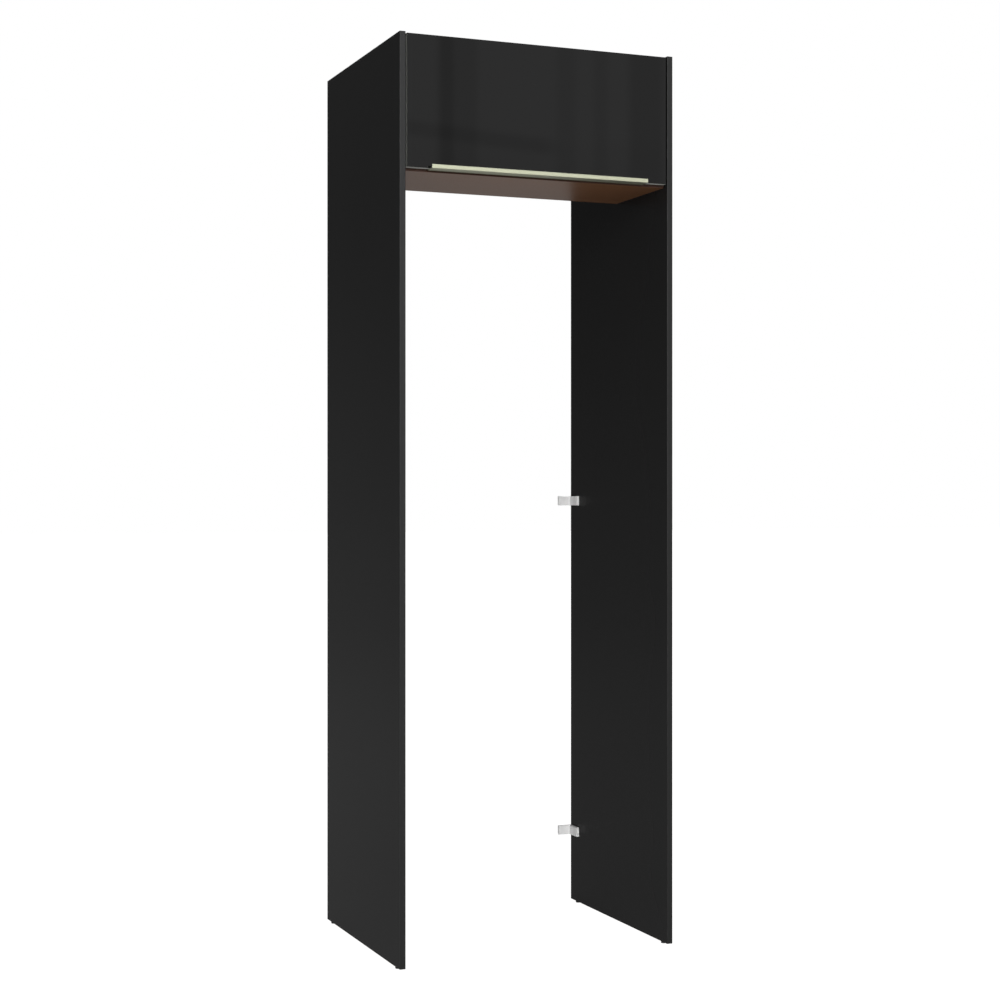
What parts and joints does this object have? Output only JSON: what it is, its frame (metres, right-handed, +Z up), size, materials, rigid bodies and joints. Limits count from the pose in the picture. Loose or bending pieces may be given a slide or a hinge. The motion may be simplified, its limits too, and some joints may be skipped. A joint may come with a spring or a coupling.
{
  "type": "refrigerator surround cabinet",
  "caption": "Tall surround for a refrigerator: two full-height side panels on glides, a shallow cupboard between them at the top with a lift-up flap on gas struts, and angles for the wall.",
  "frame": {"origin": "on the floor, in the middle of the overall width and depth, handle included", "axes": "+X to the right seen from the front, +Y to the back, towards the wall, +Z up"},
  "size_m": [0.74, 0.625, 2.285],
  "materials": {
    "graphite_board": "melamine-faced chipboard, satin graphite",
    "graphite_edge": "satin plastic edging",
    "gloss_front": "fibreboard with a high-gloss graphite face",
    "grey_edge": "light grey plastic edging",
    "brown_board": "melamine-faced chipboard, dark brown",
    "brown_edge": "dark brown edging",
    "hardboard": "thin hardboard",
    "handle_aluminium": "anodised, pale champagne",
    "zinc_steel": "bright zinc",
    "cast_zinc": "die-cast zinc",
    "white_plastic": "white moulded plastic",
    "black_plastic": "black moulded plastic",
    "brown_plastic": "brown moulded plastic",
    "strut_enamel": "black enamel",
    "chromed_rod": "hard chrome",
    "beech": "raw beech",
    "clear_rubber": "clear soft buffer"
  },
  "bodies": {
    "carcass": {"left_side_panel": "graphite_board", "left_side_edge_band": "graphite_edge", "left_wall_angles": "zinc_steel", "left_wall_angle_covers": "white_plastic", "left_hinge_arm": "zinc_steel", "left_hinge_plate": "zinc_steel", "left_strut_foot_bracket": "zinc_steel", "right_side_panel": "graphite_board", "right_side_edge_band": "graphite_edge", "right_wall_angles": "zinc_steel", "right_wall_angle_covers": "white_plastic", "right_hinge_arm": "zinc_steel", "right_hinge_plate": "zinc_steel", "right_strut_foot_bracket": "zinc_steel", "top_panel": "brown_board", "bottom_panel": "brown_board", "top_panel_edge_band": "brown_edge", "bottom_panel_edge_band": "brown_edge", "back_panel": "hardboard", "back_panel_nails": "zinc_steel", "cam_locks": "cast_zinc", "cam_bolts": "zinc_steel", "cam_caps": "brown_plastic", "dowels": "beech", "front_glides": "black_plastic", "rear_glides": "black_plastic", "glide_nails": "zinc_steel", "wall_angle_screws": "zinc_steel", "hinge_plate_screws": "zinc_steel", "hinge_arm_screws": "zinc_steel", "strut_foot_screws": "zinc_steel"},
    "flap": {"door_panel": "gloss_front", "door_edge_band_top": "grey_edge", "door_edge_band_bottom": "grey_edge", "door_edge_band_left": "grey_edge", "door_edge_band_right": "grey_edge", "handle_bar": "handle_aluminium", "handle_screws": "zinc_steel", "door_buffers": "clear_rubber", "hinge_cup_screws": "zinc_steel", "strut_door_bracket_screws": "zinc_steel", "left_hinge_cup": "zinc_steel", "left_hinge_pin": "zinc_steel", "left_strut_door_bracket": "zinc_steel", "right_hinge_cup": "zinc_steel", "right_hinge_pin": "zinc_steel", "right_strut_door_bracket": "zinc_steel"},
    "left_strut_cylinder": {"left_strut_tube": "strut_enamel", "left_strut_foot": "black_plastic"},
    "left_strut_piston": {"left_strut_rod": "chromed_rod", "left_strut_head": "black_plastic"},
    "right_strut_cylinder": {"right_strut_tube": "strut_enamel", "right_strut_foot": "black_plastic"},
    "right_strut_piston": {"right_strut_rod": "chromed_rod", "right_strut_head": "black_plastic"}
  },
  "joints": [
    {"name": "flap_hinge", "type": "hinge", "parent": "carcass", "child": "flap", "pos_m": [0, -0.2855, 2.275], "axis": [-1, 0, 0], "range_deg": [0, 90]},
    {"name": "left_strut_swing", "type": "hinge", "parent": "carcass", "child": "left_strut_cylinder", "pos_m": [-0.341, -0.0555, 2.155], "axis": [1, 0, 0], "range_deg": [0, 2.22]},
    {"name": "left_strut_slide", "type": "slide", "parent": "left_strut_cylinder", "child": "left_strut_piston", "axis": [0, -0.931, 0.3651], "range_m": [0, 0.06678]},
    {"name": "right_strut_swing", "type": "hinge", "parent": "carcass", "child": "right_strut_cylinder", "pos_m": [0.341, -0.0555, 2.155], "axis": [1, 0, 0], "range_deg": [0, 2.22]},
    {"name": "right_strut_slide", "type": "slide", "parent": "right_strut_cylinder", "child": "right_strut_piston", "axis": [0, -0.931, 0.3651], "range_m": [0, 0.06678]}
  ],
  "couplings": [
    {"joint": "left_strut_swing", "follows": "flap_hinge", "ratio": 0.024639},
    {"joint": "left_strut_slide", "follows": "flap_hinge", "m_per_rad": 0.042507},
    {"joint": "right_strut_swing", "follows": "flap_hinge", "ratio": 0.024639},
    {"joint": "right_strut_slide", "follows": "flap_hinge", "m_per_rad": 0.042507}
  ]
}
